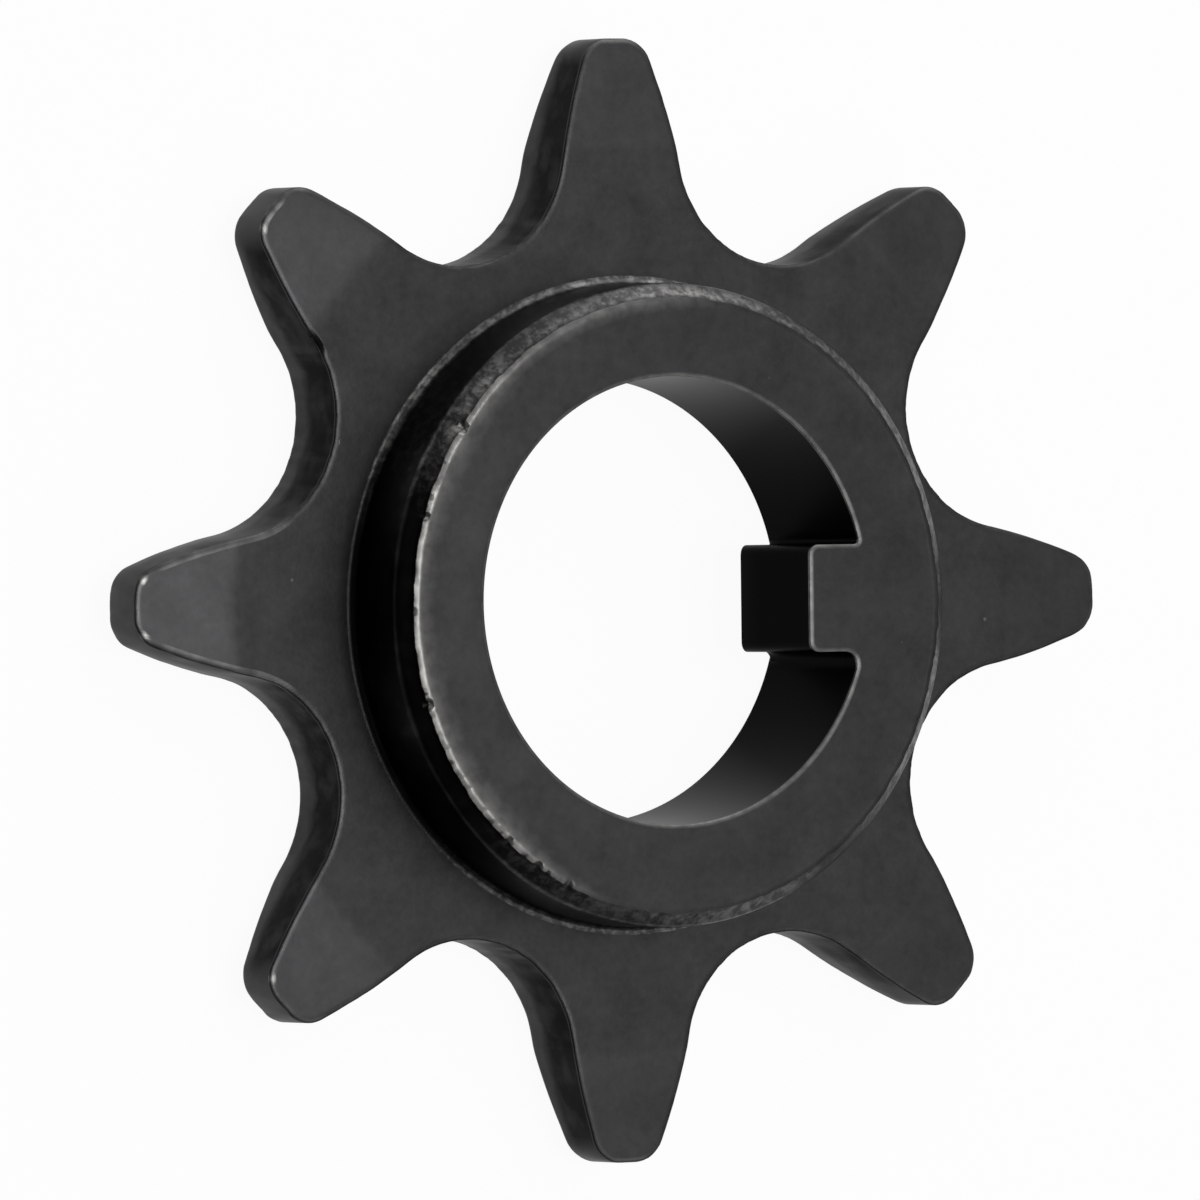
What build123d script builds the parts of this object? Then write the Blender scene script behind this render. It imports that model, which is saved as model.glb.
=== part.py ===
from build123d import *

# Roller chain sprocket with a hub on one side and a bore with a solid key inside it.
#
# One solid, in millimetres. The axis is Z. The flat back of the toothed plate lies on z = 0, and the hub
# stands up from the plate's front. One tooth points along +X, and the key is on the +X side of the bore.
import os
from math import acos, atan2, cos, degrees, hypot, radians, sin

os.makedirs("parts", exist_ok=True)

# ---- Teeth ----
chain_pitch = 12.7  # half-inch roller chain
tooth_count = 8
seat_radius = 4.07  # the arc that a chain roller sits in
seat_half_angle = 56.5  # degrees of seat arc on each side of the gap's centre line
flank_radius = 24.0  # the tooth's convex flank, tangent to the seat arc
tip_diameter = 37.8
tip_corner_radius = 1.1

# ---- Plate ----
plate_thickness = 2.85
bevel_start_diameter = 30.5  # the sides of each tooth are turned to a cone from here out
front_bevel_depth = 0.3  # axial depth of that cone at the tip circle, on the hub's side
back_bevel_depth = 0.7
bevel_blend_radius = 6.0  # softens the ridge where the cone starts
front_rim_chamfer = 0.25  # broken edge of the tooth form, on the hub's side
back_rim_chamfer = 0.25

# ---- Hub ----
hub_diameter = 21.6
hub_height = 3.2  # above the plate's front
hub_chamfer = 0.55
hub_root_fillet = 0.15

# ---- Bore and key ----
bore_diameter = 15.0
bore_front_chamfer = 0.13  # at the hub's face, round the key too
bore_back_chamfer = 0.3
key_width = 3.62
key_height = 2.23  # how far the key stands into the bore
key_tip_corner_radius = 0.35
key_root_fillet_upper = 0.15  # on the key's +Y side
key_root_fillet_lower = 0.45  # on the key's -Y side
key_setback = 0.35  # from the plate's back to the key, at the bore wall
key_lead_in = 1.3  # how much further from the back the key's tip starts, which makes its end slope

# ---- Worked out from the above ----
tip_radius = tip_diameter / 2
bore_radius = bore_diameter / 2
hub_radius = hub_diameter / 2
half_step = 180 / tooth_count  # degrees between a tooth's centre and the next gap's
pitch_radius = chain_pitch / 2 / sin(radians(half_step))
root_radius = pitch_radius - seat_radius
tooth_height = tip_radius - root_radius
total_length = plate_thickness + hub_height
key_tip_x = bore_radius - key_height

# ---- Shares ----
overrun = 1.3  # how far the flanks and the blank run past what is kept of them
tip_corner_share = 0.6  # the largest rounding of a tip's corners, so that the two don't meet
rim_share = 0.2  # the largest break of a tip's edges, so that those on its two sides don't meet


def corner_near(sketch, x, y):
    """The corner of a sketch under way that lies nearest to a point on its plane."""
    return sketch.vertices().sort_by_distance((x, y))[0]


# ---- Gap between two teeth, on the +X axis: the roller's seat and both flanks ----
seat_end_angle = 180 - seat_half_angle
flank_centre_reach = seat_radius + flank_radius
flank_centre = (
    pitch_radius + flank_centre_reach * cos(radians(seat_end_angle)),
    flank_centre_reach * sin(radians(seat_end_angle)),
)
flank_length = overrun * tooth_height
flank_sweep = degrees(flank_length / flank_radius)

# How wide a tip is where its flanks cross the tip circle, which limits its rounded and broken edges
centre_distance = hypot(*flank_centre)
centre_angle = degrees(atan2(flank_centre[1], flank_centre[0]))
crossing = acos((centre_distance**2 + tip_radius**2 - flank_radius**2) / (2 * centre_distance * tip_radius))
tip_half_angle = half_step - centre_angle + degrees(crossing)
tip_width = 2 * tip_radius * sin(radians(tip_half_angle))
tip_corner = min(tip_corner_radius, tip_corner_share * tip_width)
front_rim_break = min(front_rim_chamfer, rim_share * tip_width)
back_rim_break = min(back_rim_chamfer, rim_share * tip_width)

with BuildSketch() as gap:
    with BuildLine():
        CenterArc((pitch_radius, 0), seat_radius, seat_end_angle, seat_half_angle)
        flank = CenterArc(flank_centre, flank_radius, -seat_half_angle, flank_sweep)
        mirror(about=Plane.XZ)
        mouth = flank @ 1
        Line(mouth, (mouth.X, -mouth.Y))
    make_face()

# ---- Turned blank: plate with a cone on each side of its rim, and the hub ----
bevel_start_radius = bevel_start_diameter / 2
bevel_reach = tip_radius - bevel_start_radius
stock_reach = overrun * bevel_reach  # the blank is larger than the tips that are cut from it
stock_radius = bevel_start_radius + stock_reach
stock_front = plate_thickness - front_bevel_depth * stock_reach / bevel_reach
stock_back = back_bevel_depth * stock_reach / bevel_reach

with BuildPart() as blank:
    with BuildSketch(Plane.XZ) as blank_section:
        with BuildLine():
            Polyline(
                (0, 0),
                (bevel_start_radius, 0),
                (stock_radius, stock_back),
                (stock_radius, stock_front),
                (bevel_start_radius, plate_thickness),
                (hub_radius, plate_thickness),
                (hub_radius, total_length),
                (0, total_length),
                close=True,
            )
        make_face()
        fillet(corner_near(blank_section, hub_radius, plate_thickness), hub_root_fillet)
        chamfer(corner_near(blank_section, hub_radius, total_length), hub_chamfer)
        fillet(corner_near(blank_section, bevel_start_radius, plate_thickness), bevel_blend_radius)
        fillet(corner_near(blank_section, bevel_start_radius, 0), bevel_blend_radius)
    revolve(axis=Axis.Z)

# ---- Space inside the bore, with the key left standing ----
with BuildPart() as key_end_relief:
    Cylinder(bore_radius, total_length, align=(Align.CENTER, Align.CENTER, Align.MIN))
    key_end = Plane(
        origin=(bore_radius, 0, key_setback),
        x_dir=(0, 1, 0),
        z_dir=(key_lead_in / key_height, 0, 1),
    )
    split(bisect_by=key_end, keep=Keep.BOTTOM)

with BuildPart() as bore_space:
    with BuildSketch() as keyed_circle:
        Circle(bore_radius)
        with Locations((key_tip_x, 0)):
            Rectangle(bore_radius, key_width, align=(Align.MIN, Align.CENTER), mode=Mode.SUBTRACT)
        fillet(keyed_circle.vertices().group_by(Axis.X)[0], key_tip_corner_radius)
        fillet(corner_near(keyed_circle, bore_radius, key_width / 2), key_root_fillet_upper)
        fillet(corner_near(keyed_circle, bore_radius, -key_width / 2), key_root_fillet_lower)
    extrude(amount=total_length)
    add(key_end_relief.part)

# ---- Sprocket ----
with BuildPart() as sprocket:
    add(blank.part)
    with BuildSketch() as tooth_form:
        Circle(tip_radius)
        with PolarLocations(0, tooth_count, start_angle=half_step):
            add(gap.sketch, mode=Mode.SUBTRACT)
        fillet(tooth_form.vertices().group_by(SortBy.DISTANCE)[-1], tip_corner)
    extrude(amount=total_length, mode=Mode.INTERSECT)

    # The rim is every edge of the tooth form's own walls that isn't upright.
    walls = sprocket.faces().filter_by(
        lambda face: face.geom_type == GeomType.CYLINDER and face.center().Z < plate_thickness
    )
    rim = walls.edges().filter_by(Axis.Z, reverse=True)
    mid_plate = plate_thickness / 2
    chamfer(rim.filter_by_position(Axis.Z, mid_plate, plate_thickness), front_rim_break)
    chamfer(rim.filter_by_position(Axis.Z, 0, mid_plate), back_rim_break)

    add(bore_space.part, mode=Mode.SUBTRACT)
    hub_face = sprocket.faces().sort_by(Axis.Z)[-1]
    back_face = sprocket.faces().sort_by(Axis.Z)[0]
    chamfer(hub_face.inner_wires()[0].edges(), bore_front_chamfer)
    chamfer(back_face.inner_wires()[0].edges(), bore_back_chamfer)

sprocket.part.label = "sprocket"
export_step(sprocket.part, "parts/sprocket.step")
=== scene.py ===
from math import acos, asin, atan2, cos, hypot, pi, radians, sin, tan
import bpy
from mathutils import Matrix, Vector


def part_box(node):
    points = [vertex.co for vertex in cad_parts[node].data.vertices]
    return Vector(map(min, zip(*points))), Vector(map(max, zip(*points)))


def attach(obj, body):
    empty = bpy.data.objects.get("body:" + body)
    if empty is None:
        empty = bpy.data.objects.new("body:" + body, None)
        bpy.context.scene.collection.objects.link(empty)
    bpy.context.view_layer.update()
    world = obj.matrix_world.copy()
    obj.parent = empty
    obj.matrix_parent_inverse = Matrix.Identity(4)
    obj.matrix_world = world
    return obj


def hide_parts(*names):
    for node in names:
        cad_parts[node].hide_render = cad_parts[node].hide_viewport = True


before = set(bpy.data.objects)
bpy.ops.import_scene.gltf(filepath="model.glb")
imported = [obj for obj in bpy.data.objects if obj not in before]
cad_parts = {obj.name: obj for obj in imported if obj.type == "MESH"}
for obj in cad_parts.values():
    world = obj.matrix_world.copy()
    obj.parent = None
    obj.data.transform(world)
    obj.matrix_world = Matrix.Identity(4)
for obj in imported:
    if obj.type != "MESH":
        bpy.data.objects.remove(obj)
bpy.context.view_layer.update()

# Dresses the chain sprocket: one steel piece with eight teeth, a hub, and a bore with a solid key in it.
# The axis is Z, the plate's back is on z = 0, and the key is on the +X side, as in the CAD.
# A section is turned round the axis, the teeth and the key are cut into it, and its edges are worn.
from types import SimpleNamespace

import bpy
from mathutils import Matrix, Vector

MM = 0.001  # the shapes are worked out in millimetres and scaled once, at the end


# ---- Sizes, in millimetres, as in the CAD ----
box_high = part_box("sprocket")[1]
hair = 0.0005  # keeps the dressed part just inside the CAD's box
tip_radius = box_high.x / MM - hair
total_length = box_high.z / MM - hair
tooth_count = 8
chain_pitch = 12.7
seat_radius = 4.07
seat_half_angle = radians(56.5)
flank_radius = 24.0
tip_corner_radius = 1.1
plate_thickness = 2.85
bevel_start = 15.25  # radius where the turned bevel of the tooth tips starts
front_bevel_depth = 0.3
back_bevel_depth = 0.7
back_rim = 0.25
hub_radius = 10.8
hub_chamfer = 0.55
bore_radius = 7.5
bore_back_chamfer = 0.3
key_width = 3.62
key_height = 2.23
key_tip_rounding = 0.35
key_upper_rounding = 0.15
key_lower_rounding = 0.45
key_setback = 0.35
key_lead_in = 1.3

# ---- Wear and tool marks, in millimetres, which only the dressed part has ----
bevel_blend = 0.4  # half the width over which the bevel's start is smoothed
front_rim = 0.22  # the punch rolled the teeth's front edges over this far, and this deep
front_rim_drop = 0.08
torn_height = 1.1  # blanking shears the teeth's sides up to here and tears the rest
hub_edge_rounding = 0.35
hub_foot_rounding = 0.25
hub_offset = (0.1, -0.16, 0.0)  # the hub was turned this far off the bore's axis
lip_width = 0.27  # the burred edge between the hub's chamfer and its face
lip_drop = 0.07
face_drop = 0.045  # the hub's face falls this much towards its lip
bore_roll_width = 0.13  # the bore's front edge rolls over this far, and this deep
bore_roll_drop = 0.04
bore_edge_rounding = 0.03
bite_spacing = 0.7  # ragged edges are eaten back about this often

# ---- The mesh ----
support = 0.05  # a ring this far beside each rounding keeps the flats flat
steps_around = 1280
rounding_steps = 5
rim_steps = 9
merge_distance = 0.002
crisp_angle = radians(27)  # edges that fold more than this stay sharp
rim_band = 1.0  # stations within this of the tips are on the teeth's rims
hub_band = 1.9  # and within this of the hub's wall, on the hub
keyed_band = 0.4  # stations up to this far outside the bore's wall follow the key

half_pitch = pi / tooth_count  # angle between a tooth's centre line and the next gap's
pitch_radius = chain_pitch / 2 / sin(half_pitch)


# ---- Camera, in millimetres ----
camera_distance = 609.87
camera_turns = (radians(0.2988), radians(31.4279), radians(0.6548))  # about X, then Y, then Z
camera_slide = (-0.896, 0.018)  # to its right, and up
camera_lens = 544.6
sensor_width = 36.0


def add(tree, kind, inputs=None, **settings):
    """Adds a node. An input is a value, a socket or a node, and its key a socket's name or number."""
    node = tree.nodes.new(kind)
    for name, value in settings.items():
        setattr(node, name, value)
    for key, value in (inputs or {}).items():
        socket = node.inputs[key] if isinstance(key, int) else next(
            s for s in node.inputs if s.name == key and s.enabled)
        if isinstance(value, bpy.types.Node):
            value = next(s for s in value.outputs if s.enabled)
        if isinstance(value, bpy.types.NodeSocket):
            tree.links.new(value, socket)
        else:
            socket.default_value = value
    return node


def linear(hex_colour):
    """The linear colour of an sRGB hex value."""
    channels = [int(hex_colour[i:i + 2], 16) / 255 for i in (1, 3, 5)]
    return [c / 12.92 if c <= 0.04045 else ((c + 0.055) / 1.055) ** 2.4 for c in channels] + [1.0]


def polar(reach, angle):
    """The point at a reach and an angle from the axis."""
    return reach * cos(angle), reach * sin(angle)


# ---- The tooth's side: arcs that touch, in polar coordinates from the tooth's centre line ----
def tooth_arcs():
    """Each arc's (centre's radius, centre's angle, own radius) in millimetres and radians."""
    seat_end = pi - seat_half_angle
    flank_x = pitch_radius + (seat_radius + flank_radius) * cos(seat_end)
    flank_y = (seat_radius + flank_radius) * sin(seat_end)
    flank_reach = hypot(flank_x, flank_y)
    flank_angle = half_pitch - atan2(flank_y, flank_x)
    corner_reach = tip_radius - tip_corner_radius
    apart = flank_radius - tip_corner_radius
    spread = acos((flank_reach**2 + corner_reach**2 - apart**2) / (2 * flank_reach * corner_reach))
    return {
        "Corner Arc": Vector((corner_reach, flank_angle + spread, tip_corner_radius)),
        "Flank Arc": Vector((flank_reach, flank_angle, flank_radius)),
        "Seat Arc": Vector((pitch_radius, half_pitch, seat_radius)),
    }


def arc_starts():
    """The angle at which each arc starts, and how much it moves for each millimetre of inset."""
    arcs = tooth_arcs()
    centres = {name: Vector(polar(arc.x, arc.y)) for name, arc in arcs.items()}
    flank = centres["Flank Arc"]
    starts = {"Corner Arc": (arcs["Corner Arc"].y, 0.0)}
    for name, towards in (("Flank Arc", "Corner Arc"), ("Seat Arc", "Seat Arc")):
        direction = (centres[towards] - flank).normalized()
        angles = []
        for inset in (0.0, front_rim):
            meet = flank + direction * (flank_radius - inset)
            angles.append(atan2(meet.y, meet.x))
        starts[name] = (angles[0], (angles[1] - angles[0]) / front_rim)
    return starts


def tip_side_radius():
    """The radius at which a tooth's flank gives way to the rounded corner of its tip."""
    arcs = tooth_arcs()
    flank, tip_corner = [Vector(polar(arcs[name].x, arcs[name].y)) for name in ("Flank Arc", "Corner Arc")]
    return (flank + (tip_corner - flank).normalized() * flank_radius).length


# ---- Base lines: corners joined by straight edges, each with what the tree needs to know of it ----
def base_line(name, corners, closed=False):
    """A line of corners, given as dictionaries of a place and its numbers, as a mesh with attributes."""
    count = len(corners)
    edges = [(i, (i + 1) % count) for i in range(count if closed else count - 1)]
    mesh = bpy.data.meshes.new(name)
    mesh.from_pydata([corner["at"] for corner in corners], edges, [])
    for key in corners[0]:
        if key != "at":
            values = mesh.attributes.new(key, "FLOAT", "POINT").data
            values.foreach_set("value", [corner[key] for corner in corners])
    obj = bpy.data.objects.new(name, mesh)
    bpy.context.scene.collection.objects.link(obj)
    return obj


# ---- The turned section, from the back rim round to the back face ----
def corner(radius, height, **numbers):
    """A corner of the section and what is known of it, each a share but for the first, last and ragged:
    rounding, its radius; wear, how bare it is rubbed; cut, how black it is made as a side wall, partly for a
    thicker oxide and partly as painted shade; chatter, how far the tool's chatter shows; ragged, how far it
    is eaten away; stray, how far it is off centre with the hub; burr, how far it stands up with the lip's
    burr."""
    unsaid = dict.fromkeys(("rounding", "wear", "cut", "chatter", "ragged", "stray", "burr"), 0.0)
    return {"at": (radius, 0.0, height), **unsaid, **numbers}


def rolled_rim():
    """The teeth's front edge: a quarter of an ellipse, from the side wall in to the face."""
    corners = []
    for step in range(rim_steps):
        share = step / (rim_steps - 1)
        turn = pi / 2 * (1 - share)
        corners.append(corner(tip_radius - front_rim * (1 - sin(turn)),
                              plate_thickness - front_rim_drop * (1 - cos(turn)),
                              wear=0.22 * sin(pi * share), cut=0.2 * (1 - share) ** 2, ragged=0.025))
    return corners


def hub_section():
    """From the hub's foot up its side, over its chamfer and its burred lip, and in over its face."""
    foot = plate_thickness
    end = total_length
    shoulder = hub_radius - hub_chamfer
    low = end - face_drop
    hub = {"stray": 1.0}
    # cut blackens the hub's side and chamfer, partly as painted shade that is darkest on the -X side.
    side = {"cut": 0.8, "chatter": 0.35, **hub}
    return [
        corner(hub_radius + hub_foot_rounding + support, foot, **hub),
        corner(hub_radius, foot, rounding=hub_foot_rounding, cut=0.6, chatter=1, **hub),
        corner(hub_radius, foot + hub_foot_rounding + support, **side),
        corner(hub_radius, end - hub_chamfer - hub_edge_rounding / 2, **side),
        corner(hub_radius, end - hub_chamfer, rounding=hub_edge_rounding, cut=0.85, chatter=0.6, **hub),
        corner(shoulder + 0.6 * hub_chamfer, end - 0.6 * hub_chamfer,
               cut=0.72, chatter=0.85, ragged=0.03, **hub),
        corner(shoulder + lip_drop + 0.12, end - lip_drop - 0.12, cut=0.72, chatter=1.1, ragged=0.04, **hub),
        corner(shoulder + lip_drop + 0.02, end - lip_drop - 0.03, cut=1, chatter=0.5, ragged=0.05, **hub),
        corner(shoulder + lip_drop, end - lip_drop, wear=0.65, ragged=0.05, **hub),
        corner(shoulder - 0.04, end - 0.3 * lip_drop, wear=0.72, ragged=0.05, burr=0.4 * face_drop, **hub),
        corner(shoulder - 0.12, end, wear=0.62, ragged=0.03, burr=face_drop, **hub),
        corner(shoulder - 0.2, end - 0.3 * face_drop, wear=0.5, ragged=0.02, burr=0.7 * face_drop, **hub),
        corner(shoulder - lip_width - 0.05, low, wear=0.33, **hub),
        corner(shoulder - 0.5, low, wear=0.14, stray=0.9),
        corner(shoulder - 0.9, low + 0.2 * face_drop, wear=0.07, stray=0.7),
        corner(8.8, low + 0.4 * face_drop, stray=0.4),
        corner(8.4, low + 0.65 * face_drop, stray=0.2),
        corner(8.0, low + 0.9 * face_drop),
    ]


def bore_section():
    """From the bore's rolled front edge down its wall, past the key's back, to the chamfer at the back."""
    end = total_length
    wall_heights = (end - bore_roll_drop - 2 * support, 4.6, 3.4, 2.2, 1.2,
                    key_setback, key_setback - 2 * hair, bore_back_chamfer + 0.01)
    return [
        corner(bore_radius + bore_roll_width + support, end),
        corner(bore_radius + bore_roll_width, end, wear=0.12),
        corner(bore_radius, end - bore_roll_drop, rounding=bore_edge_rounding, wear=0.36, cut=0.3),
        # The bore's wall is made black, partly as painted shade.
        *[corner(bore_radius, height, cut=1) for height in wall_heights],
        corner(bore_radius + bore_back_chamfer, 0),
    ]


def turned_section():
    """The closed section from which the blank is turned."""
    tooth_rings = (17.6, 16.4)
    bevel_rings = [bevel_start + bevel_blend * share for share in (1, 0.4, -0.2, -1)]
    front_rings = (*tooth_rings, *bevel_rings, 13.6, 12.6, 11.8)
    back_rings = (9.4, 12.0, *reversed(bevel_rings), *reversed(tooth_rings))
    return [
        # The back rim is made black, partly as painted shade for the floor's shadow that it would reflect.
        corner(tip_radius, 0, rounding=back_rim, cut=1, ragged=0.02),
        corner(tip_radius, back_rim + support, cut=1),
        corner(tip_radius, plate_thickness - front_rim_drop - support, cut=1),
        *rolled_rim(),
        corner(tip_radius - front_rim - support, plate_thickness),
        *[corner(ring, plate_thickness) for ring in front_rings],
        *hub_section(),
        *bore_section(),
        *[corner(ring, 0) for ring in back_rings],
        corner(tip_radius - back_rim - support, 0),
    ]


# ---- The keyed part of the bore's outline ----
key_root_angle = asin(key_width / 2 / bore_radius)
key_span = radians(22)  # the outline follows the key within this angle of +X
key_clearance = radians(4.8)  # the roundings of the key's roots end within this angle
key_tip_angle = radians(8.5)  # share of the turn given to the key's tip


def key_outline():
    """The outline's corners from below the key to above it, with the angle at which each is drawn."""
    tip_x = bore_radius - key_height
    half = key_width / 2
    root_x = bore_radius * cos(key_root_angle)
    arc = [key_span - (key_span - key_root_angle - key_clearance) * step / 3 for step in range(4)]
    places = [
        *[(-angle, *polar(bore_radius, -angle), 0) for angle in arc],
        (-key_root_angle, root_x, -half, key_lower_rounding),
        (-key_tip_angle, tip_x, -half, key_tip_rounding),
        (key_tip_angle, tip_x, half, key_tip_rounding),
        (key_root_angle, root_x, half, key_upper_rounding),
        *[(angle, *polar(bore_radius, angle), 0) for angle in reversed(arc)],
    ]
    return [{"at": (x, y, 0.0), "rounding": rounding, "drawn_at": angle} for angle, x, y, rounding in places]


def corner_shares(corners):
    """How far along the rounded outline the middle of each corner lies, as a share of its length."""
    points = [Vector(one["at"]) for one in corners]
    marks = [0.0]
    past = 0.0  # half of the last corner's arc
    cut = 0.0  # what the last corner's rounding took off its straight
    for i in range(1, len(points)):
        run = (points[i] - points[i - 1]).length - cut
        turn = 0.0
        if i < len(points) - 1:
            turn = (points[i] - points[i - 1]).angle(points[i + 1] - points[i])
        rounding = corners[i]["rounding"]
        cut = rounding * tan(turn / 2)
        marks.append(marks[-1] + past + run - cut + rounding * turn / 2)
        past = rounding * turn / 2
    return [mark / marks[-1] for mark in marks]


# ---- Where the hub is worn, and where light and shade are painted on it, by the angle round it in degrees ----
# How far its lip is rubbed bare, with a painted highlight that favours the -X side; how far the chatter on
# its chamfer and foot shows, with fewer flecks where the -X side lies in shade; and how black its side is, as
# painted shade that is darkest on the -X side.
lip_wear_and_highlight_shares = ((-180, 0.75), (-155, 0.95), (-140, 1.0), (-125, 0.65), (-115, 0.3), (-105, 0.1), (-90, 0.0),
              (60, 0.0), (90, 0.25), (105, 0.4), (125, 0.5), (135, 0.85), (155, 1.0), (167, 0.8), (180, 0.75))
chatter_and_light_shares = ((-180, 0.0), (-145, 0.05), (-125, 0.3), (-110, 0.4), (-90, 0.45), (-75, 0.6), (-50, 0.2),
                  (-35, 0.6), (-20, 0.9), (0, 0.5), (20, 0.85), (45, 0.6), (60, 0.55), (75, 0.6), (90, 0.75),
                  (105, 0.5), (125, 0.4), (140, 0.7), (150, 0.6), (158, 0.25), (170, 0.05), (180, 0.0))
hub_side_shade_shares = ((-180, 1.0), (-145, 1.0), (-130, 0.7), (-115, 0.3), (-90, 0.1), (-60, 0.0), (0, 0.0),
                  (110, 0.0), (125, 0.3), (145, 0.4), (157, 0.8), (170, 1.0), (180, 1.0))


def round_the_hub(tree, turn, shares):
    """A share for each angle, from pairs of an angle in degrees and its share."""
    curve = add(tree, "ShaderNodeFloatCurve", {"Value": turn})
    points = curve.mapping.curves[0].points
    points[0].location, points[1].location = (0, shares[0][1]), (1, shares[-1][1])
    for angle, share in shares[1:-1]:
        points.new((angle + 180) / 360, share)
    curve.mapping.update()
    return curve


# ---- Dents, nicks and rubbed spots ----
def dents():
    """Points that say where edges are nicked or rubbed, how far each mark reaches, which way the steel is
    pushed and how much lighter it is made: bare where rubbed, and on the teeth at -X partly a painted
    highlight."""
    rim = plate_thickness
    tip_rim = plate_thickness - 0.25  # the bevel brings the rim down by this much at the tips
    lip = total_length - lip_drop / 2
    still = (0, 0, 0)
    marks = [
        # A nick in a flank
        ((-11.9, 8.75, rim), 0.5, (0.2, -0.09, -0.1), 0),
        # The corners of three tips, rubbed bright, and partly painted highlight
        ((-13.8, 12.55, tip_rim), 0.26, still, 0.9),
        ((-13.5, 12.9, tip_rim), 0.5, still, 0.42),
        ((-13.2, 13.25, tip_rim), 0.5, still, 0.36),
        ((-18.55, 0.9, tip_rim - 0.03), 0.22, still, 1),
        ((-18.55, -0.95, tip_rim - 0.03), 0.22, still, 1),
        ((-13.8, -12.4, tip_rim), 0.25, still, 0.7),
        # Specks on the rim between the nick and the tooth at -X
        ((-11.05, 5.4, rim), 0.16, still, 0.9),
        ((-11.2, 4.45, rim), 0.14, still, 0.7),
    ]
    # Both rims of the tooth at -X, rubbed from its tip to its foot, partly a painted highlight along them
    for out, aside in ((17.4, 1.35), (16.6, 1.57), (15.8, 1.77), (15.0, 1.97), (14.2, 2.2), (13.5, 2.5)):
        marks += [((-out, y, rim), 1.1, still, 0.22) for y in (aside, -aside)]
    # Bites out of the burred lip, by the angle round the hub, their reach and their depth
    for angle, reach, depth in ((144.25, 0.26, 0.16), (158.75, 0.1, 0.06), (162.5, 0.16, 0.1),
                                (180.5, 0.12, 0.06), (198, 0.2, 0.16), (229, 0.18, 0.1), (233.5, 0.12, 0.05),
                                (237, 0.2, 0.1), (239.5, 0.1, 0.06), (244.5, 0.24, 0.09)):
        x, y = polar(hub_radius - hub_chamfer + 0.03, radians(angle))
        inwards = polar(-depth, radians(angle))
        marks.append(((x + hub_offset[0], y + hub_offset[1], lip), reach, (*inwards, -depth / 2), 0))
    places, reaches, pushes, shines = zip(*marks)
    mesh = bpy.data.meshes.new("dents")
    mesh.from_pydata(places, [], [])
    mesh.attributes.new("reach", "FLOAT", "POINT").data.foreach_set("value", reaches)
    mesh.attributes.new("shine", "FLOAT", "POINT").data.foreach_set("value", shines)
    mesh.attributes.new("push", "FLOAT_VECTOR", "POINT").data.foreach_set(
        "vector", [value for push in pushes for value in push])
    obj = bpy.data.objects.new("dents", mesh)
    bpy.context.scene.collection.objects.link(obj)
    return obj


# ---- The sprocket's tree ----
def swept_grid(tree, given):
    """The section swept round the axis. Every point keeps its station on the section and its ray."""
    position = add(tree, "GeometryNodeInputPosition")
    line = add(tree, "GeometryNodeMeshToCurve", {"Mesh": given["Section"]})
    rounding = add(tree, "GeometryNodeInputNamedAttribute", {"Name": "rounding"}, data_type="FLOAT")
    section = add(tree, "GeometryNodeFilletCurve",
                  {"Curve": line, "Count": given["Rounding Steps"], "Radius": rounding}, mode="POLY")
    section = add(tree, "GeometryNodeStoreNamedAttribute",
                  {"Geometry": section, "Name": "station", "Value": position},
                  data_type="FLOAT_VECTOR", domain="POINT")
    circle = add(tree, "GeometryNodeCurvePrimitiveCircle",
                 {"Resolution": given["Steps Around"], "Radius": 1.0})
    rail = add(tree, "GeometryNodeStoreNamedAttribute",
               {"Geometry": circle, "Name": "ray", "Value": position},
               data_type="FLOAT_VECTOR", domain="POINT")
    return add(tree, "GeometryNodeCurveToMesh", {"Curve": rail, "Profile Curve": section})


def known_of_each_point(tree, given):
    """What the cuts go by: each point's ray, station, angle, side of the plate and depth in from the tips."""
    ray = add(tree, "GeometryNodeInputNamedAttribute", {"Name": "ray"}, data_type="FLOAT_VECTOR")
    station_at = add(tree, "GeometryNodeInputNamedAttribute", {"Name": "station"}, data_type="FLOAT_VECTOR")
    ragged = add(tree, "GeometryNodeInputNamedAttribute", {"Name": "ragged"}, data_type="FLOAT")
    ray_xyz = add(tree, "ShaderNodeSeparateXYZ", {0: ray})
    station = add(tree, "ShaderNodeSeparateXYZ", {0: station_at})
    angle = add(tree, "ShaderNodeMath", {0: ray_xyz.outputs["Y"], 1: ray_xyz.outputs["X"]},
                operation="ARCTAN2")
    turn = add(tree, "ShaderNodeMapRange", {"Value": angle, "From Min": -pi, "From Max": pi})
    middle = add(tree, "ShaderNodeMath", {0: given["Plate Thickness"], 1: 2.0}, operation="DIVIDE")
    front = add(tree, "ShaderNodeMath", {0: station.outputs["Z"], 1: middle}, operation="GREATER_THAN")
    rim = add(tree, "GeometryNodeSwitch",
              {"Switch": front, "False": given["Back Rim"], "True": given["Front Rim"]}, input_type="FLOAT")
    depth = add(tree, "ShaderNodeMath", {0: given["Tip Radius"], 1: station.outputs["X"]},
                operation="SUBTRACT")
    on_rim = add(tree, "ShaderNodeMath", {0: depth, 1: rim_band}, operation="LESS_THAN")
    return SimpleNamespace(ray=ray, station=station, ragged=ragged, angle=angle, turn=turn, front=front,
                           rim=rim, depth=depth, on_rim=on_rim)


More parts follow.
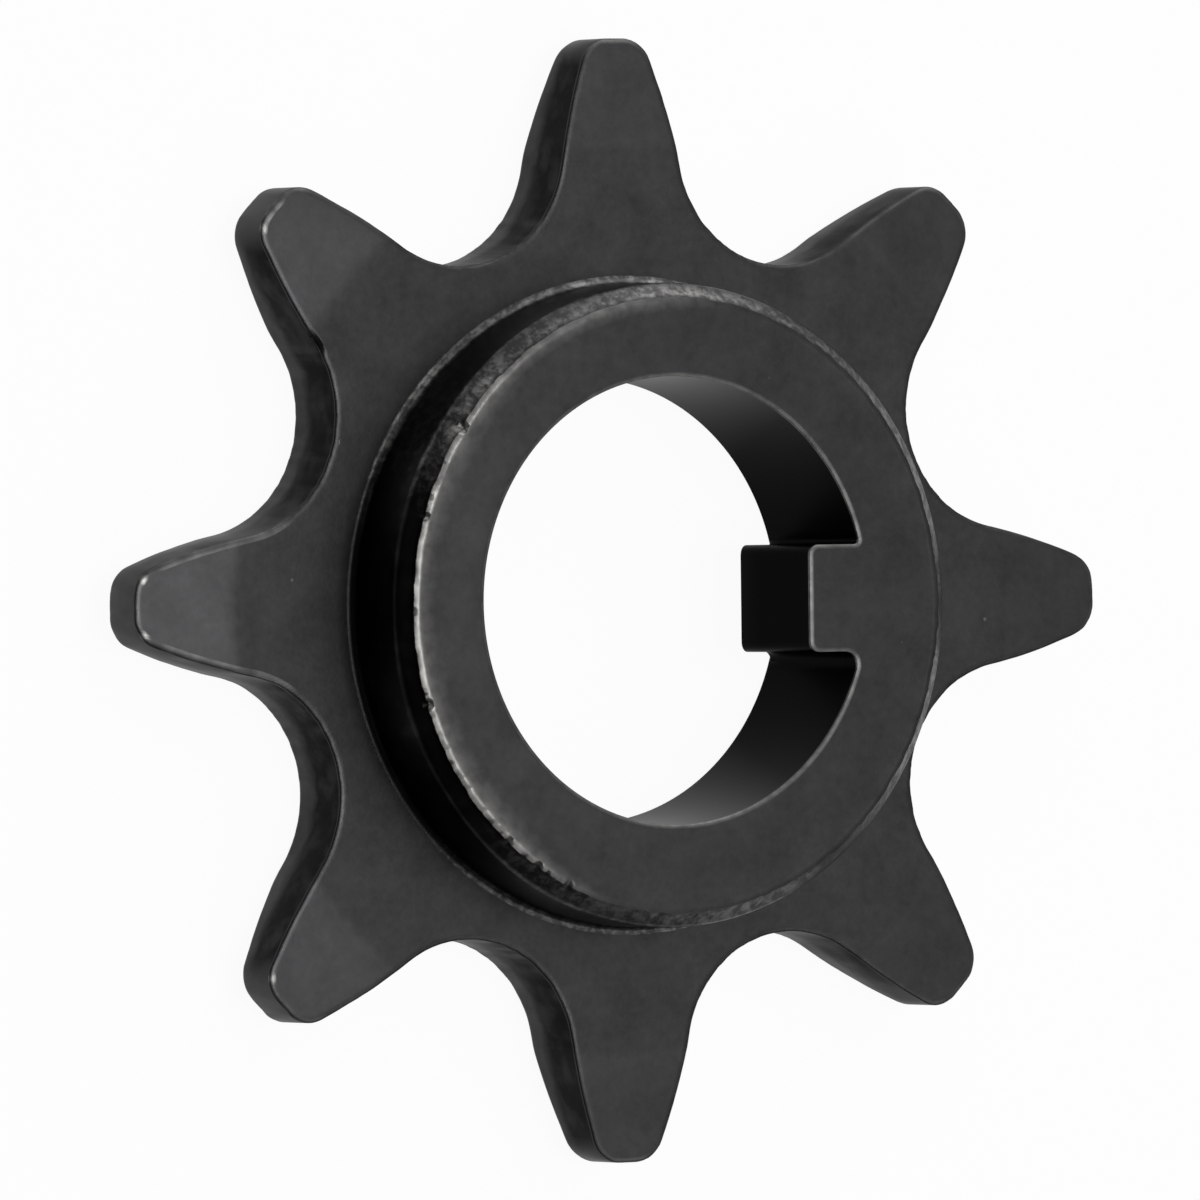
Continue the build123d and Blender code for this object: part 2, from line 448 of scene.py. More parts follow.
def tooth_form(tree, given, around, inset):
    """The tooth form's radius at an angle from the tooth's centre line, set in all round."""
    reach = add(tree, "ShaderNodeMath", {0: given["Tip Radius"], 1: inset}, operation="SUBTRACT")
    starts = arc_starts()
    for name, side in (("Corner Arc", 1), ("Flank Arc", 1), ("Seat Arc", -1)):
        arc = add(tree, "ShaderNodeSeparateXYZ", {0: given[name]})
        radius = add(tree, "ShaderNodeMath", {0: inset, 1: -side, 2: arc.outputs["Z"]},
                     operation="MULTIPLY_ADD")
        turn = add(tree, "ShaderNodeMath", {0: around, 1: arc.outputs["Y"]}, operation="SUBTRACT")
        cosine = add(tree, "ShaderNodeMath", {0: turn}, operation="COSINE")
        sine = add(tree, "ShaderNodeMath", {0: turn}, operation="SINE")
        along = add(tree, "ShaderNodeMath", {0: cosine, 1: arc.outputs["X"]}, operation="MULTIPLY")
        across = add(tree, "ShaderNodeMath", {0: sine, 1: arc.outputs["X"]}, operation="MULTIPLY")
        squared = add(tree, "ShaderNodeMath", {0: radius, 1: radius}, operation="MULTIPLY")
        short = add(tree, "ShaderNodeMath", {0: across, 1: across}, operation="MULTIPLY")
        left = add(tree, "ShaderNodeMath", {0: squared, 1: short}, operation="SUBTRACT")
        above = add(tree, "ShaderNodeMath", {0: left, 1: 0.0}, operation="MAXIMUM")
        chord = add(tree, "ShaderNodeMath", {0: above}, operation="SQRT")
        here = add(tree, "ShaderNodeMath", {0: chord, 1: side, 2: along}, operation="MULTIPLY_ADD")
        first, slope = starts[name]
        start = add(tree, "ShaderNodeMath", {0: inset, 1: slope, 2: first}, operation="MULTIPLY_ADD")
        past = add(tree, "ShaderNodeMath", {0: around, 1: start}, operation="GREATER_THAN")
        reach = add(tree, "GeometryNodeSwitch", {"Switch": past, "False": reach, "True": here},
                    input_type="FLOAT")
    return reach


def toothed_radius(tree, given, at):
    """Each point's radius with the tooth form cut. Ragged edges are eaten back unevenly, by short bites."""
    place = add(tree, "ShaderNodeVectorMath", {0: at.ray, "Scale": at.station.outputs["X"]},
                operation="SCALE")
    bites = add(tree, "ShaderNodeTexNoise",
                {"Vector": place, "Scale": given["Bite Frequency"], "Detail": 3.0, "Roughness": 0.6})
    bitten = add(tree, "ShaderNodeMapRange",
                 {"Value": bites.outputs[0], "From Min": 0.42, "From Max": 0.66,
                  "To Min": 0.0, "To Max": 1.0})
    eaten = add(tree, "ShaderNodeMath", {0: at.ragged, 1: bitten.outputs[0]}, operation="MULTIPLY")
    limit = add(tree, "ShaderNodeMath", {0: at.rim, 1: support}, operation="ADD")
    shallow = add(tree, "ShaderNodeMath", {0: at.depth, 1: limit}, operation="MINIMUM")
    inset = add(tree, "ShaderNodeMath", {0: shallow, 1: eaten}, operation="ADD")
    half = add(tree, "ShaderNodeMath", {0: pi, 1: given["Teeth"]}, operation="DIVIDE")
    around = add(tree, "ShaderNodeMath", {0: at.angle, 1: half}, operation="PINGPONG")
    form = tooth_form(tree, given, around, inset)
    turned = add(tree, "ShaderNodeMath", {0: at.station.outputs["X"], 1: eaten}, operation="SUBTRACT")
    return add(tree, "ShaderNodeMath", {0: turned, 1: form}, operation="MINIMUM")


def bevelled_height(tree, given, at, radius):
    """Each point's height with the tips bevelled on both faces."""
    beyond = add(tree, "ShaderNodeMath", {0: radius, 1: given["Bevel Start"]}, operation="SUBTRACT")
    sloped = add(tree, "ShaderNodeMath", {0: beyond, 1: 0.0, 2: given["Bevel Blend"]}, operation="SMOOTH_MAX")
    slope = add(tree, "GeometryNodeSwitch",
                {"Switch": at.front, "False": given["Back Slope"], "True": given["Front Slope"]},
                input_type="FLOAT")
    return add(tree, "ShaderNodeMath", {0: sloped, 1: slope, 2: at.station.outputs["Z"]},
               operation="MULTIPLY_ADD")


def toothed_place(tree, given, at, radius, height):
    """Each point's place. The hub is a little off centre, and its lip's burr stands up only where bare."""
    burr = add(tree, "GeometryNodeInputNamedAttribute", {"Name": "burr"}, data_type="FLOAT")
    missing = add(tree, "ShaderNodeMath", {0: 1.0, 1: round_the_hub(tree, at.turn, lip_wear_and_highlight_shares)},
                  operation="SUBTRACT")
    missing = add(tree, "ShaderNodeMath", {0: missing, 1: burr}, operation="MULTIPLY")
    height = add(tree, "ShaderNodeMath", {0: height, 1: missing}, operation="SUBTRACT")
    flat = add(tree, "ShaderNodeVectorMath", {0: at.ray, "Scale": radius}, operation="SCALE")
    flat_xyz = add(tree, "ShaderNodeSeparateXYZ", {0: flat})
    place = add(tree, "ShaderNodeCombineXYZ",
                {"X": flat_xyz.outputs["X"], "Y": flat_xyz.outputs["Y"], "Z": height})
    stray = add(tree, "GeometryNodeInputNamedAttribute", {"Name": "stray"}, data_type="FLOAT")
    off_centre = add(tree, "ShaderNodeVectorMath", {0: given["Hub Offset"], "Scale": stray},
                     operation="SCALE")
    return add(tree, "ShaderNodeVectorMath", {0: place, 1: off_centre}, operation="ADD")


def outline_place(tree, given, at):
    """The place on the keyed bore's outline, moved into the steel by as much as the station is."""
    info = add(tree, "GeometryNodeObjectInfo", {"Object": given["Key Outline"]})
    line = add(tree, "GeometryNodeMeshToCurve", {"Mesh": info.outputs["Geometry"]})
    rounding = add(tree, "GeometryNodeInputNamedAttribute", {"Name": "rounding"}, data_type="FLOAT")
    outline = add(tree, "GeometryNodeFilletCurve", {"Curve": line, "Count": 8, "Radius": rounding},
                  mode="POLY")
    spread = add(tree, "ShaderNodeMapRange", {"Value": at.angle, "From Min": -key_span, "From Max": key_span,
                                              "To Min": 0.0, "To Max": 1.0})
    share = add(tree, "ShaderNodeFloatCurve", {"Value": spread})
    corners = key_outline()
    points = share.mapping.curves[0].points
    for one, mark in zip(corners[1:-1], corner_shares(corners)[1:-1]):
        points.new((one["drawn_at"] + key_span) / (2 * key_span), mark)
    for point in points:
        point.handle_type = "VECTOR"
    share.mapping.update()
    sample = add(tree, "GeometryNodeSampleCurve", {"Curves": outline, "Factor": share}, mode="FACTOR")
    outwards = add(tree, "ShaderNodeVectorMath", {0: sample.outputs["Tangent"], 1: (0, 0, 1)},
                   operation="CROSS_PRODUCT")
    depth = add(tree, "ShaderNodeMath", {0: at.station.outputs["X"], 1: given["Bore Radius"]},
                operation="SUBTRACT")
    moved = add(tree, "ShaderNodeVectorMath", {0: outwards, "Scale": depth}, operation="SCALE")
    return add(tree, "ShaderNodeVectorMath", {0: sample.outputs["Position"], 1: moved}, operation="ADD")


def keyed_place(tree, given, at, toothed):
    """Near the key, the bore's points follow the keyed outline, above the key's sloping back."""
    outline_xyz = add(tree, "ShaderNodeSeparateXYZ", {0: outline_place(tree, given, at)})
    from_wall = add(tree, "ShaderNodeMath", {0: given["Bore Radius"], 1: outline_xyz.outputs["X"]},
                    operation="SUBTRACT")
    ramp = add(tree, "ShaderNodeMath", {0: from_wall, 1: given["Key Back Slope"], 2: given["Key Setback"]},
               operation="MULTIPLY_ADD")
    height = add(tree, "ShaderNodeMath", {0: at.station.outputs["Z"], 1: ramp}, operation="MAXIMUM")
    on_key = add(tree, "ShaderNodeCombineXYZ",
                 {"X": outline_xyz.outputs["X"], "Y": outline_xyz.outputs["Y"], "Z": height})
    from_key = add(tree, "ShaderNodeMath", {0: at.angle}, operation="ABSOLUTE")
    near = add(tree, "ShaderNodeMath", {0: from_key, 1: key_span}, operation="LESS_THAN")
    inner = add(tree, "ShaderNodeMath", {0: at.depth, 1: given["Keyed Depth"]}, operation="GREATER_THAN")
    above = add(tree, "ShaderNodeMath", {0: at.station.outputs["Z"], 1: given["Key Setback"]},
                operation="SUBTRACT")
    over = add(tree, "ShaderNodeMath", {0: above, 1: -hair}, operation="GREATER_THAN")
    both = add(tree, "ShaderNodeMath", {0: near, 1: inner}, operation="MULTIPLY")
    all_three = add(tree, "ShaderNodeMath", {0: both, 1: over}, operation="MULTIPLY")
    return add(tree, "GeometryNodeSwitch", {"Switch": all_three, "False": toothed, "True": on_key},
               input_type="VECTOR")


def struck(tree, given, at, whole):
    """The steel, pushed round each mark the way it was struck, and how much lighter the nearest mark makes
    it:
    bare where rubbed, and partly a painted highlight.
    """
    position = add(tree, "GeometryNodeInputPosition")
    marks = add(tree, "GeometryNodeObjectInfo", {"Object": given["Dents"]}).outputs["Geometry"]
    nearest = add(tree, "GeometryNodeSampleNearest", {"Geometry": marks}, domain="POINT")
    mark = {}
    for name, data_type in (("centre", "FLOAT_VECTOR"), ("push", "FLOAT_VECTOR"), ("reach", "FLOAT"),
                            ("shine", "FLOAT")):
        value = position
        if name != "centre":
            value = add(tree, "GeometryNodeInputNamedAttribute", {"Name": name}, data_type=data_type)
        mark[name] = add(tree, "GeometryNodeSampleIndex",
                         {"Geometry": marks, "Value": value, "Index": nearest},
                         data_type=data_type, domain="POINT")
    away = add(tree, "ShaderNodeVectorMath", {0: position, 1: mark["centre"]}, operation="DISTANCE")
    fall = add(tree, "ShaderNodeMapRange",
               {"Value": away.outputs["Value"], "From Min": mark["reach"], "From Max": 0.0,
                "To Min": 0.0, "To Max": 1.0}, interpolation_type="SMOOTHSTEP")
    edge = add(tree, "ShaderNodeMath", {0: at.ragged, 1: 0.01}, operation="GREATER_THAN")
    here = add(tree, "ShaderNodeMath", {0: fall.outputs[0], 1: edge}, operation="MULTIPLY")
    # A rim's inner side stays where it is, so that no face beside it tips.
    outermost = add(tree, "ShaderNodeMapRange", {"Value": at.depth, "From Min": 0.0, "From Max": at.rim,
                                                 "To Min": 1.0, "To Max": 0.0})
    share = add(tree, "GeometryNodeSwitch", {"Switch": at.on_rim, "False": 1.0, "True": outermost.outputs[0]},
                input_type="FLOAT")
    pushed = add(tree, "ShaderNodeMath", {0: here, 1: share}, operation="MULTIPLY")
    push = add(tree, "ShaderNodeVectorMath", {0: mark["push"], "Scale": pushed}, operation="SCALE")
    shine = add(tree, "ShaderNodeMath", {0: mark["shine"], 1: here}, operation="MULTIPLY")
    return add(tree, "GeometryNodeSetPosition", {"Geometry": whole, "Offset": push}), shine


def marked_for_finish(tree, given, at, radius, dented, shine):
    """Stores what the finish needs: where edges are rubbed bare, where the tool chattered, and the side
    walls, but for the tips, which were turned. Round the hub each goes by its own shares, which also paint
    light and shade: a highlight on the lip and shade on the side, both on the -X side."""
    off_hub = add(tree, "ShaderNodeMath", {0: at.station.outputs["X"], 1: given["Hub Radius"]},
                  operation="SUBTRACT")
    off_hub = add(tree, "ShaderNodeMath", {0: off_hub}, operation="ABSOLUTE")
    beside = add(tree, "ShaderNodeMath", {0: off_hub, 1: hub_band}, operation="LESS_THAN")
    on_hub = add(tree, "ShaderNodeMath", {0: beside, 1: at.front}, operation="MULTIPLY")
    from_tip = add(tree, "ShaderNodeMath", {0: given["Tip Side"], 1: radius}, operation="SUBTRACT")
    below_tip = add(tree, "ShaderNodeMapRange",
                    {"Value": from_tip, "From Min": -0.7, "From Max": 0.3, "To Min": 0.1, "To Max": 1.0},
                    interpolation_type="SMOOTHSTEP")
    marked = dented
    for name, shares in (("wear", lip_wear_and_highlight_shares), ("chatter", chatter_and_light_shares), ("cut", hub_side_shade_shares)):
        stored = add(tree, "GeometryNodeInputNamedAttribute", {"Name": name}, data_type="FLOAT")
        share = round_the_hub(tree, at.turn, shares)
        share = add(tree, "GeometryNodeSwitch", {"Switch": on_hub, "False": 1.0, "True": share},
                    input_type="FLOAT")
        value = add(tree, "ShaderNodeMath", {0: stored, 1: share}, operation="MULTIPLY")
        if name == "wear":  # the teeth's rims are rubbed less below their tips
            guarded = add(tree, "ShaderNodeMath", {0: at.on_rim, 1: below_tip.outputs[0]},
                          operation="MULTIPLY")
            kept = add(tree, "ShaderNodeMath", {0: guarded, 1: -0.6, 2: 1.0}, operation="MULTIPLY_ADD")
            value = add(tree, "ShaderNodeMath", {0: value, 1: kept}, operation="MULTIPLY")
            # The marks' shine counts as wear: bare steel, and on the teeth at -X partly a painted highlight.
            value = add(tree, "ShaderNodeMath", {0: value, 1: shine}, operation="MAXIMUM")
        if name == "cut":
            value = add(tree, "ShaderNodeMath", {0: value, 1: below_tip.outputs[0]}, operation="MULTIPLY")
        marked = add(tree, "GeometryNodeStoreNamedAttribute",
                     {"Geometry": marked, "Name": name, "Value": value}, data_type="FLOAT", domain="POINT")
    return marked


def sprocket_tree(sizes):
    """Turns the section round the axis, cuts the tooth form, the tip bevels and the key, and wears it."""
    tree = bpy.data.node_groups.new("turned_and_cut_sprocket", "GeometryNodeTree")
    kinds = {float: "Float", int: "Int", Vector: "Vector", bpy.types.Object: "Object",
             bpy.types.Material: "Material"}
    tree.interface.new_socket("Section", in_out="INPUT", socket_type="NodeSocketGeometry")
    for name, value in sizes.items():
        tree.interface.new_socket(name, in_out="INPUT", socket_type="NodeSocket" + kinds[type(value)])
    tree.interface.new_socket("Sprocket", in_out="OUTPUT", socket_type="NodeSocketGeometry")
    given = add(tree, "NodeGroupInput").outputs

    grid = swept_grid(tree, given)
    at = known_of_each_point(tree, given)
    radius = toothed_radius(tree, given, at)
    height = bevelled_height(tree, given, at, radius)
    toothed = toothed_place(tree, given, at, radius, height)
    keyed = keyed_place(tree, given, at, toothed)
    formed = add(tree, "GeometryNodeSetPosition", {"Geometry": grid, "Position": keyed})
    whole = add(tree, "GeometryNodeMergeByDistance", {"Geometry": formed, "Distance": merge_distance})
    dented, shine = struck(tree, given, at, whole)
    marked = marked_for_finish(tree, given, at, radius, dented, shine)

    # Metres, crisp where two cuts meet, and plain of what only the tree needed.
    scaled = add(tree, "GeometryNodeTransform", {"Geometry": marked, "Scale": (MM, MM, MM)})
    for name in ("station", "ray", "ragged", "rounding", "stray", "burr"):
        scaled = add(tree, "GeometryNodeRemoveAttribute", {"Geometry": scaled, "Name": name})
    fold = add(tree, "GeometryNodeInputMeshEdgeAngle")
    soft = add(tree, "ShaderNodeMath", {0: fold.outputs["Unsigned Angle"], 1: crisp_angle},
               operation="LESS_THAN")
    all_soft = add(tree, "GeometryNodeSetShadeSmooth", {"Geometry": scaled, "Shade Smooth": True},
                   domain="FACE")
    smooth = add(tree, "GeometryNodeSetShadeSmooth", {"Geometry": all_soft, "Shade Smooth": soft},
                 domain="EDGE")
    outwards = add(tree, "GeometryNodeFlipFaces", {"Mesh": smooth})
    real = add(tree, "GeometryNodeRealizeInstances", {"Geometry": outwards})
    finished = add(tree, "GeometryNodeSetMaterial", {"Geometry": real, "Material": given["Finish"]})
    add(tree, "NodeGroupOutput", {"Sprocket": finished})
    return tree


# ---- Black oxide over turned and blanked steel ----
def oxide_tone(tree, place, from_axis):
    """The oxide is cloudy over a millimetre or two, and grained over the tool's finer marks."""
    clouds = add(tree, "ShaderNodeTexNoise",
                 {"Vector": place, "Scale": 1 / (1.6 * MM), "Detail": 6.0, "Roughness": 0.65})
    fine = add(tree, "ShaderNodeTexNoise",
               {"Vector": place, "Scale": 1 / (0.35 * MM), "Detail": 4.0, "Roughness": 0.7})
    cloudy = add(tree, "ShaderNodeMix", {"Factor": 0.4, "A": clouds.outputs[0], "B": fine.outputs[0]},
                 data_type="FLOAT")
    tone = add(tree, "ShaderNodeValToRGB", {"Fac": cloudy})
    tone.color_ramp.elements[0].position = 0.3
    tone.color_ramp.elements[0].color = linear("#323233")
    tone.color_ramp.elements[1].position = 0.7
    tone.color_ramp.elements[1].color = linear("#434344")

    # The bevelled tips are turned a little finer than the faces, so they are lighter.
    tips = add(tree, "ShaderNodeMapRange",
               {"Value": from_axis, "From Min": (bevel_start - 0.15) * MM,
                "From Max": (bevel_start + 0.15) * MM, "To Min": 0.0, "To Max": 0.05})
    return add(tree, "ShaderNodeMix", {"Factor": tips.outputs[0], "A": tone, "B": linear("#7c7c7d")},
               data_type="RGBA")


def blackness_and_painted_shade(tree, place, xyz, from_axis):
    """Side walls are made blacker, partly for a thicker oxide and partly as painted shade. The band sheared
    along the back of the teeth's sides is smoother and takes less of it. The bore gets painted shade, darker
    towards the key and towards its front edge."""
    # cut: how black a side wall is made, partly as painted shade.
    cut = add(tree, "ShaderNodeAttribute", {}, attribute_name="cut")
    streaks = add(tree, "ShaderNodeTexNoise", {"Vector": place, "Scale": 1 / (0.9 * MM), "Detail": 4.0})
    uneven = add(tree, "ShaderNodeMath", {0: streaks.outputs[0], 1: 1.2 * MM, 2: xyz.outputs["Z"]},
                 operation="MULTIPLY_ADD")
    torn = add(tree, "ShaderNodeMapRange",
               {"Value": uneven, "From Min": (torn_height + 0.3) * MM, "From Max": (torn_height + 0.8) * MM,
                "To Min": 0.3, "To Max": 0.85})
    hub_side = add(tree, "ShaderNodeMath", {0: xyz.outputs["Z"], 1: (plate_thickness + 0.02) * MM},
                   operation="GREATER_THAN")
    outer = add(tree, "ShaderNodeMath", {0: torn.outputs[0], 1: hub_side}, operation="MAXIMUM")
    mottle = add(tree, "ShaderNodeMapRange",
                 {"Value": streaks.outputs[0], "From Min": 0.45, "From Max": 0.7,
                  "To Min": 1.0, "To Max": 0.72})
    outer = add(tree, "ShaderNodeMath", {0: outer, 1: mottle.outputs[0]}, operation="MULTIPLY")
    # Painted shade: the bore is made darker towards the key and towards its front edge.
    to_key = add(tree, "ShaderNodeMath", {0: xyz.outputs["Z"], 1: 0.25, 2: xyz.outputs["X"]},
                 operation="MULTIPLY_ADD")
    bore_painted_shade = add(tree, "ShaderNodeMapRange",
                  {"Value": to_key, "From Min": 2 * MM, "From Max": 6.5 * MM, "To Min": 0.3, "To Max": 1.1})
    side = add(tree, "ShaderNodeMapRange",
               {"Value": from_axis, "From Min": 8 * MM, "From Max": 9 * MM,
                "To Min": bore_painted_shade.outputs[0], "To Max": outer})
    return add(tree, "ShaderNodeMath", {0: cut.outputs["Fac"], 1: side.outputs[0]}, operation="MULTIPLY")


fleck_length = 0.3  # millimetres round the hub, then across and up
fleck_width = 0.26
fleck_rise = 0.4


def bare_steel(tree, place, xyz, from_axis):
    """Steel shows where edges were rubbed, in flecks where the tool chattered, and in a few fine specks.
    Round the hub and on the teeth at -X these bright marks are partly painted highlights.
    """
    worn = add(tree, "ShaderNodeAttribute", {}, attribute_name="wear")
    scuff = add(tree, "ShaderNodeTexNoise",
                {"Vector": place, "Scale": 1 / (0.5 * MM), "Detail": 2.0, "Roughness": 0.5})
    patchy = add(tree, "ShaderNodeMapRange",
                 {"Value": scuff.outputs[0], "From Min": 0.35, "From Max": 0.6,
                  "To Min": 0.65, "To Max": 1.0})
    rubbed = add(tree, "ShaderNodeMath", {0: worn.outputs["Fac"], 1: patchy.outputs[0]}, operation="MULTIPLY")

    turn = add(tree, "ShaderNodeMath", {0: xyz.outputs["Y"], 1: xyz.outputs["X"]}, operation="ARCTAN2")
    turn = add(tree, "ShaderNodeMath", {0: turn, 1: hub_radius / fleck_length}, operation="MULTIPLY")
    out = add(tree, "ShaderNodeMath", {0: from_axis, 1: 1 / (fleck_width * MM)}, operation="MULTIPLY")
    up = add(tree, "ShaderNodeMath", {0: xyz.outputs["Z"], 1: 1 / (fleck_rise * MM)}, operation="MULTIPLY")
    round_the_axis = add(tree, "ShaderNodeCombineXYZ", {"X": turn, "Y": out, "Z": up})
    ticks = add(tree, "ShaderNodeTexNoise",
                {"Vector": round_the_axis, "Scale": 1.0, "Detail": 3.0, "Roughness": 0.6})
    flecks = add(tree, "ShaderNodeMapRange",
                 {"Value": ticks.outputs[0], "From Min": 0.42, "From Max": 0.62,
                  "To Min": 0.3, "To Max": 1.1})
    chatter = add(tree, "ShaderNodeAttribute", {}, attribute_name="chatter")
    flecked = add(tree, "ShaderNodeMath", {0: chatter.outputs["Fac"], 1: flecks.outputs[0]},
                  operation="MULTIPLY")
    flecked = add(tree, "ShaderNodeMath", {0: flecked, 1: 0.55}, operation="MULTIPLY")
    rubbed = add(tree, "ShaderNodeMath", {0: rubbed, 1: flecked}, operation="MAXIMUM")

    cells = add(tree, "ShaderNodeTexVoronoi", {"Vector": place, "Scale": 1 / (1.3 * MM)})
    near = add(tree, "ShaderNodeMapRange", {"Value": cells.outputs["Distance"], "From Min": 0.07,
                                            "From Max": 0.02, "To Min": 0.0, "To Max": 1.0})
    chosen = add(tree, "ShaderNodeSeparateColor", {0: cells.outputs["Color"]})
    few = add(tree, "ShaderNodeMapRange",
              {"Value": chosen.outputs[0], "From Min": 0.7, "From Max": 1.0, "To Min": 0.0, "To Max": 0.25})
    specks = add(tree, "ShaderNodeMath", {0: near.outputs[0], 1: few.outputs[0]}, operation="MULTIPLY")
    bare = add(tree, "ShaderNodeMath", {0: rubbed, 1: specks}, operation="MAXIMUM")
    return add(tree, "ShaderNodeMapRange",
               {"Value": bare, "From Min": 0.05, "From Max": 0.9, "To Min": 0.0, "To Max": 1.0})


# Blackened steel is a dark, dull metal: a thin oxide over mill-cut grain, mottled a few millimetres across,
# with the bright steel showing in thin lines where edges rub. Some of these lines are painted highlights,
# and the side walls' near black is partly painted shade.
def black_oxide_steel():
    material = bpy.data.materials.new("black_oxide_turned_steel")
    material.use_nodes = True
    tree = material.node_tree
    tree.nodes.clear()
    place = add(tree, "ShaderNodeTexCoord").outputs["Object"]
    xyz = add(tree, "ShaderNodeSeparateXYZ", {0: place})
    flat = add(tree, "ShaderNodeVectorMath", {0: place, 1: (1, 1, 0)}, operation="MULTIPLY")
    from_axis = add(tree, "ShaderNodeVectorMath", {0: flat}, operation="LENGTH").outputs["Value"]

    blackness_and_shade = blackness_and_painted_shade(tree, place, xyz, from_axis)
    # The side walls go near black, partly for a thicker oxide and partly as painted shade.
    tone = add(tree, "ShaderNodeMix",
               {"Factor": blackness_and_shade, "A": oxide_tone(tree, place, from_axis), "B": linear("#040404")},
               data_type="RGBA")
    bare = bare_steel(tree, place, xyz, from_axis)
    colour = add(tree, "ShaderNodeMix", {"Factor": bare.outputs[0], "A": tone, "B": linear("#a8a7a4")},
                 data_type="RGBA")
    # The blacker the walls are made, partly for a thicker oxide and partly as painted shade, the less of a
    # sheen they take when seen aslant.
    sheen = add(tree, "ShaderNodeMix", {"Factor": blackness_and_shade, "A": linear("#e0e0e0"), "B": linear("#c5c5c5")},
                data_type="RGBA")
    grain = add(tree, "ShaderNodeTexNoise",
                {"Vector": place, "Scale": 1 / (0.18 * MM), "Detail": 2.0, "Roughness": 0.6})
    bump = add(tree, "ShaderNodeBump", {"Height": grain.outputs[0], "Strength": 0.3, "Distance": 0.01 * MM})
    surface = add(tree, "ShaderNodeBsdfPrincipled",
                  {"Base Color": colour, "Metallic": 1.0, "Roughness": 0.4, "Specular Tint": sheen,
                   "Normal": bump})
    add(tree, "ShaderNodeOutputMaterial", {"Surface": surface})
    return material


def make_sprocket(finish):
    """The sprocket as a plain mesh."""
    piece = base_line("toothed_steel", turned_section(), closed=True)
    outline = base_line("key_outline", key_outline())
    marks = dents()
    sizes = {
        "Steps Around": steps_around,
        "Rounding Steps": rounding_steps,
        "Teeth": float(tooth_count),
        "Tip Radius": tip_radius,
        **tooth_arcs(),
        "Tip Side": tip_side_radius(),
        "Plate Thickness": plate_thickness,
        "Front Rim": front_rim,
        "Back Rim": back_rim,
        "Bite Frequency": 1 / bite_spacing,
        "Bevel Start": bevel_start,
        "Bevel Blend": bevel_blend,
        "Front Slope": -front_bevel_depth / (tip_radius - bevel_start),
        "Back Slope": back_bevel_depth / (tip_radius - bevel_start),
        "Hub Radius": hub_radius,
        "Hub Offset": Vector(hub_offset),
        "Bore Radius": bore_radius,
        "Keyed Depth": tip_radius - bore_radius - keyed_band,
        "Key Setback": key_setback,
        "Key Back Slope": key_lead_in / key_height,
        "Key Outline": outline,
        "Dents": marks,
        "Finish": finish,
    }
    tree = sprocket_tree(sizes)
    modifier = piece.modifiers.new("turned_and_cut", "NODES")
    modifier.node_group = tree
    identifiers = {item.name: item.identifier for item in tree.interface.items_tree if item.in_out == "INPUT"}
    for name, value in sizes.items():
        modifier[identifiers[name]] = value
    evaluated = piece.evaluated_get(bpy.context.evaluated_depsgraph_get())
    mesh = bpy.data.meshes.new_from_object(evaluated)
    piece.modifiers.clear()
    piece.data = mesh
    mesh.name = "toothed_steel"
    for helper in (outline, marks):
        bpy.data.objects.remove(helper)
    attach(piece, "root")
    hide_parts("sprocket")
    return piece


# ---- Floor, light and camera ----
def pale_floor():
    """A plain white floor under the part. What the camera and the steel see of it is mostly flat white."""
    mesh = bpy.data.meshes.new("floor")
    far = 2.0
    mesh.from_pydata([(-far, -far, 0), (far, -far, 0), (far, far, 0), (-far, far, 0)], [], [(0, 1, 2, 3)])
    floor = bpy.data.objects.new("floor", mesh)
    bpy.context.scene.collection.objects.link(floor)
    material = bpy.data.materials.new("white_paper_floor")
    material.use_nodes = True
    tree = material.node_tree
    tree.nodes.clear()
    path = add(tree, "ShaderNodeLightPath")
    seen = add(tree, "ShaderNodeMath", {0: path.outputs["Is Camera Ray"], 1: path.outputs["Is Glossy Ray"]},
               operation="MAXIMUM")
    seen = add(tree, "ShaderNodeMath", {0: seen, 1: path.outputs["Is Transmission Ray"]}, operation="MAXIMUM")
    share = add(tree, "ShaderNodeMath", {0: seen, 1: 0.95}, operation="MULTIPLY")
    paper = add(tree, "ShaderNodeBsdfDiffuse", {"Color": linear("#f2f2f2")})
    white = add(tree, "ShaderNodeEmission", {"Color": (1, 1, 1, 1), "Strength": 1.0})
    mixed = add(tree, "ShaderNodeMixShader", {0: share, 1: paper, 2: white})
    add(tree, "ShaderNodeOutputMaterial", {"Surface": mixed})
    mesh.materials.append(material)


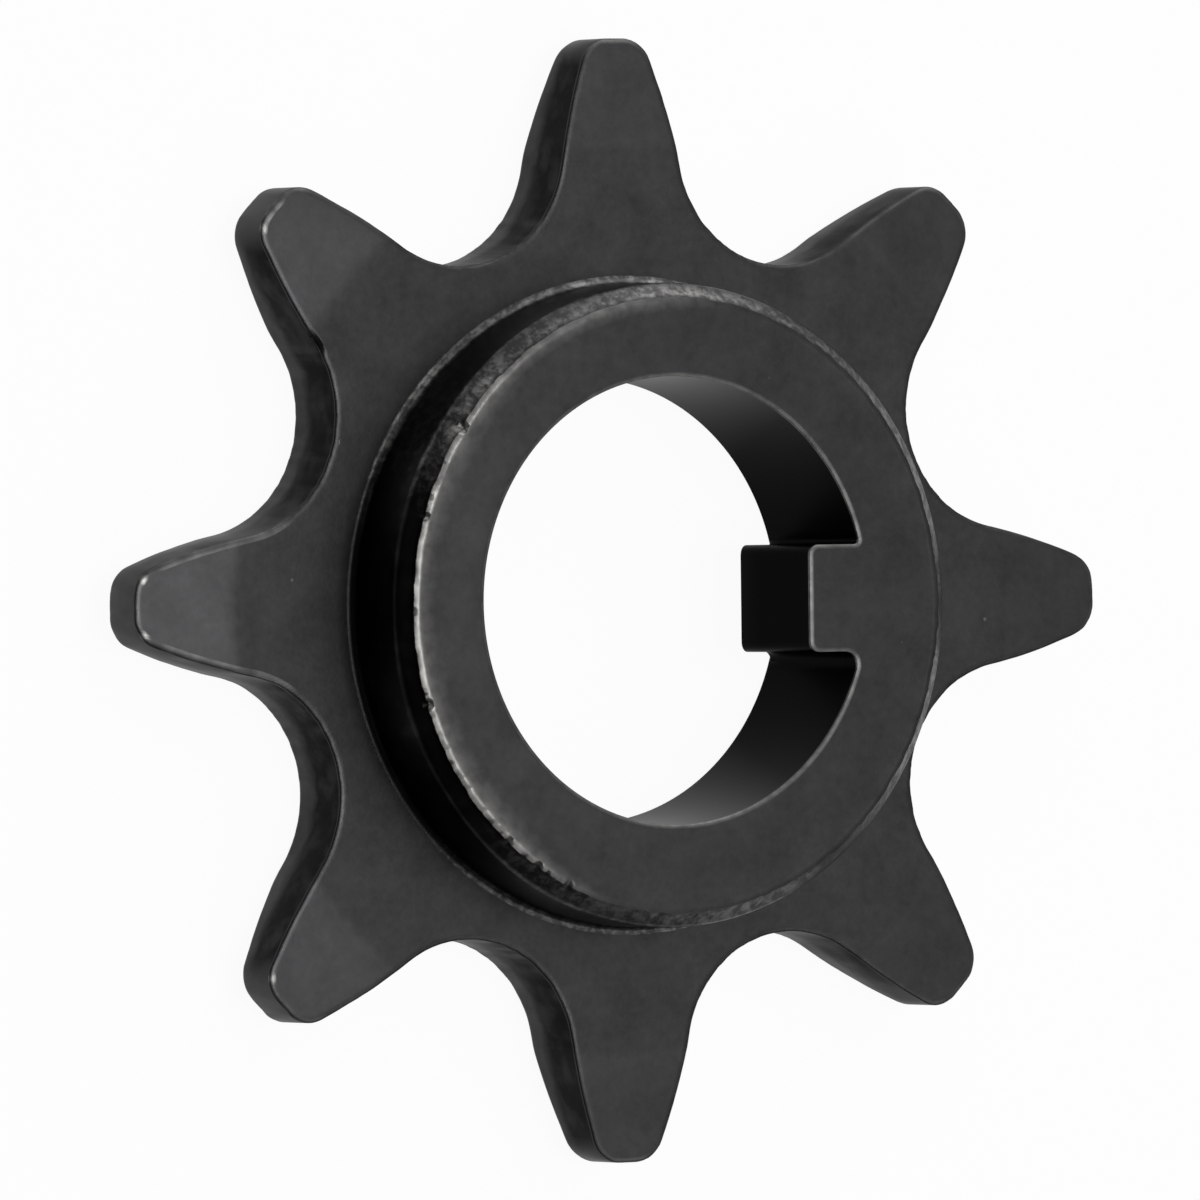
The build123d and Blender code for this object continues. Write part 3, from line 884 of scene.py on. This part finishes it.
def softbox(name, place, size, radiance):
    """A square lamp that faces the part, in metres. Its power is what gives its face this radiance."""
    lamp = bpy.data.lights.new(name, "AREA")
    lamp.shape = "SQUARE"
    lamp.size = size
    lamp.energy = radiance * pi * size**2
    obj = bpy.data.objects.new(name, lamp)
    obj.location = place
    obj.rotation_euler = (-Vector(place)).to_track_quat("-Z", "Y").to_euler()
    bpy.context.scene.collection.objects.link(obj)


def studio():
    """A dim white room with softboxes over the part, beside it and low beyond it."""
    world = bpy.data.worlds.new("studio")
    world.use_nodes = True
    world.node_tree.nodes.clear()
    sky = add(world.node_tree, "ShaderNodeBackground", {"Color": (1, 1, 1, 1), "Strength": 0.06})
    add(world.node_tree, "ShaderNodeOutputWorld", {"Surface": sky})
    bpy.context.scene.world = world
    softbox("side_softbox", (0.62, 0.0, 0.72), 0.95, 0.6)
    softbox("overhead_softbox", (0.05, 0.0, 0.9), 0.34, 8.0)
    softbox("far_softbox", (0.55, 0.75, 0.16), 0.5, 2.0)
    softbox("window_softbox", (0.05, 0.95, 0.3), 1.0, 1.15)
    softbox("front_softbox", (0.42, -0.62, 0.66), 0.4, 1.8)
    softbox("back_softbox", (0.42, 0.62, 0.66), 0.4, 2.6)


def main_camera():
    """Looks down on the hub from the -X side, through a long lens."""
    about_x, about_y, about_z = camera_turns
    # Rows: the camera's right, up and back, in the part's frame.
    turn = Matrix.Rotation(about_z, 3, "Z") @ Matrix.Rotation(about_x, 3, "X")
    turn = turn @ Matrix.Rotation(about_y, 3, "Y")
    right, up, back = turn.row
    aim = Vector((0, 0, plate_thickness))
    place = aim + back * camera_distance + right * camera_slide[0] + up * camera_slide[1]
    data = bpy.data.cameras.new("camera")
    data.sensor_width = sensor_width
    data.lens = camera_lens
    data.clip_start = 0.01
    camera = bpy.data.objects.new("camera", data)
    camera.matrix_world = Matrix.LocRotScale(place * MM, turn.transposed().to_quaternion(), None)
    bpy.context.scene.collection.objects.link(camera)
    bpy.context.scene.camera = camera


bpy.context.scene.view_settings.view_transform = "Standard"
make_sprocket(black_oxide_steel())
pale_floor()
studio()
main_camera()
